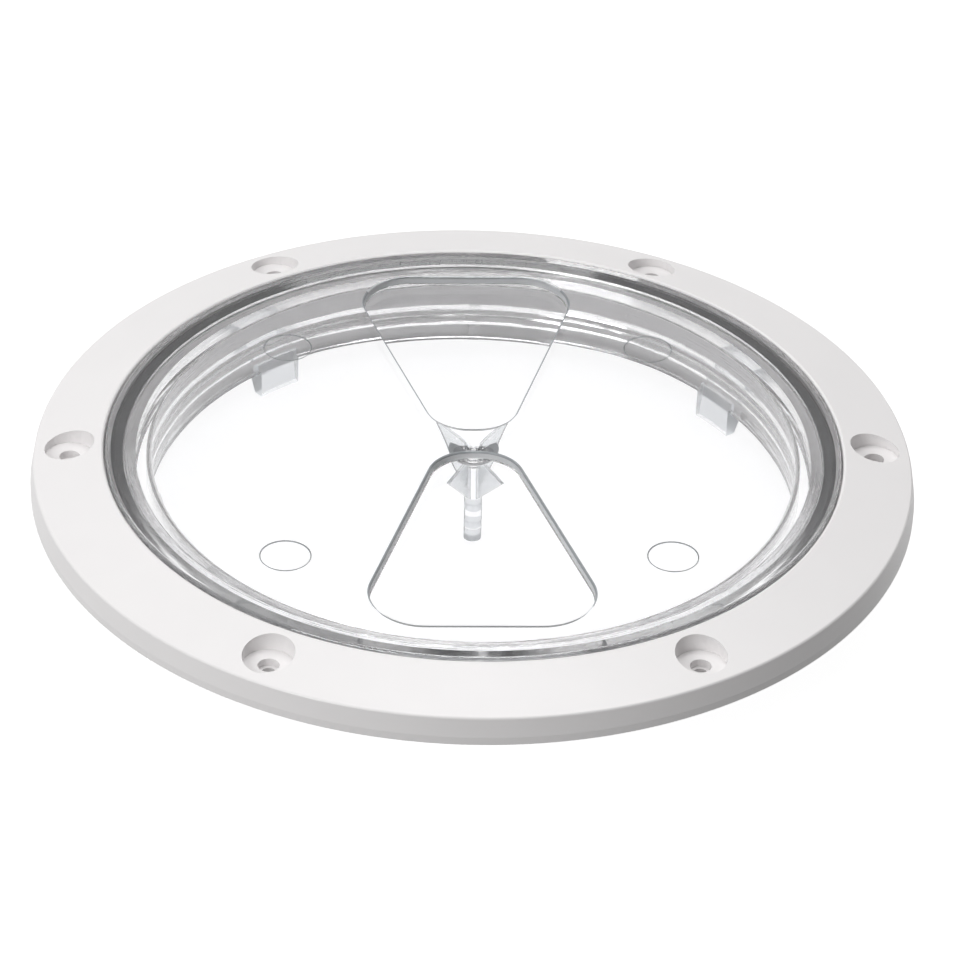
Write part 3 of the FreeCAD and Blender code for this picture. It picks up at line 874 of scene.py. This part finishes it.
# Studio
def make_floor():
    """White paper under the ends of the lugs: matt, with a glow that only camera, gloss and glass see."""
    corners = circle(FLOOR_REACH * math.sqrt(2), [225.0, 315.0, 45.0, 135.0])
    mesh = bpy.data.meshes.new("floor")
    mesh.from_pydata((np.column_stack([corners, [LUG_END] * 4]) * MM).tolist(), [], [(0, 1, 2, 3)])
    floor = bpy.data.objects.new("floor", mesh)
    bpy.context.scene.collection.objects.link(floor)
    material, tree = new_material("white_paper")
    paper = add_node(tree, "ShaderNodeBsdfDiffuse", {"Color": colour("#909090")})
    glow = add_node(tree, "ShaderNodeEmission", {"Color": colour("#ffffff"), "Strength": PAPER_GLOW})
    ray = add_node(tree, "ShaderNodeLightPath")
    seen = add_node(tree, "ShaderNodeMath", {
        0: ray.outputs["Is Camera Ray"], 1: ray.outputs["Is Glossy Ray"]}, operation="MAXIMUM")
    seen = add_node(tree, "ShaderNodeMath", {
        0: seen.outputs[0], 1: ray.outputs["Is Transmission Ray"]}, operation="MAXIMUM")
    dark = add_node(tree, "ShaderNodeEmission", {"Strength": 0.0})
    lit = add_node(tree, "ShaderNodeMixShader", {
        0: seen.outputs[0], 1: dark.outputs[0], 2: glow.outputs[0]})
    both = add_node(tree, "ShaderNodeAddShader", {0: paper.outputs[0], 1: lit.outputs[0]})
    add_node(tree, "ShaderNodeOutputMaterial", {"Surface": both.outputs[0]})
    mesh.materials.append(material)


def make_world():
    """A soft studio, bright behind and overhead and dim in front; plain white to the camera."""
    world = bpy.data.worlds.new("studio")
    world.use_nodes = True
    tree = world.node_tree
    tree.nodes.clear()
    way = add_node(tree, "ShaderNodeTexCoord").outputs["Generated"]
    toward = add_node(tree, "ShaderNodeVectorMath", {0: way, 1: SKY_WAY}, operation="DOT_PRODUCT")
    soft = add_node(tree, "ShaderNodeMapRange", {
        "Value": toward.outputs["Value"], "From Min": -SKY_BASE, "From Max": 1 - SKY_BASE,
        "To Min": 0.0, "To Max": 1.0})
    white = colour("#ffffff")
    studio = add_node(tree, "ShaderNodeBackground", {"Color": white, "Strength": soft.outputs[0]})
    plain = add_node(tree, "ShaderNodeBackground", {"Color": white, "Strength": 1.0})
    ray = add_node(tree, "ShaderNodeLightPath")
    mix = add_node(tree, "ShaderNodeMixShader", {
        0: ray.outputs["Is Camera Ray"], 1: studio.outputs[0], 2: plain.outputs[0]})
    add_node(tree, "ShaderNodeOutputWorld", {"Surface": mix.outputs[0]})
    bpy.context.scene.world = world


def make_lamp(name, azimuth, elevation, distance, width, power):
    """A square soft box at a distance from the part along a direction, turned to face it."""
    light = bpy.data.lights.new(name, "AREA")
    light.shape = "SQUARE"
    light.size = width
    light.energy = power
    lamp = bpy.data.objects.new(name, light)
    east, north = circle(math.cos(math.radians(elevation)), [azimuth])[0]
    way = Vector((east, north, math.sin(math.radians(elevation))))
    lamp.location = way * distance
    lamp.rotation_euler = way.to_track_quat("Z", "Y").to_euler()
    bpy.context.scene.collection.objects.link(lamp)


def make_camera():
    """The photograph's viewpoint.

    The camera starts over the middle of the hole plane, leans down to its elevation, moves back by its
    distance and then pans, tilts and rolls by the small angles that frame the picture.
    """
    data = bpy.data.cameras.new("camera")
    data.sensor_width = SENSOR
    data.lens = FOCAL
    data.clip_end = SIGHT * MM
    camera = bpy.data.objects.new("camera", data)
    camera.matrix_world = (
        Matrix.Translation((0, 0, AIM_HEIGHT * MM))
        @ Matrix.Rotation(math.radians(CAMERA_YAW), 4, "Z")
        @ Matrix.Rotation(math.radians(90 - CAMERA_ELEVATION), 4, "X")
        @ Matrix.Translation((0, 0, CAMERA_DISTANCE * MM))
        @ Matrix.Rotation(math.radians(CAMERA_PAN), 4, "Y")
        @ Matrix.Rotation(math.radians(CAMERA_TILT), 4, "X")
        @ Matrix.Rotation(math.radians(CAMERA_ROLL), 4, "Z"))
    bpy.context.scene.collection.objects.link(camera)
    bpy.context.scene.camera = camera


def main():
    pieces = (make_lid(), make_seal(), make_ring())
    for piece, finishes in zip(pieces, (lid_finishes(), (black_rubber(),), (white_abs(),))):
        for material in finishes:
            piece.data.materials.append(material)
    make_floor()
    make_world()
    for lamp in LAMPS:
        make_lamp(*lamp)
    make_camera()
    scene = bpy.context.scene
    scene.view_settings.view_transform = "Standard"
    scene.cycles.max_bounces = BOUNCES
    scene.cycles.glossy_bounces = BOUNCES
    scene.cycles.transmission_bounces = BOUNCES


main()
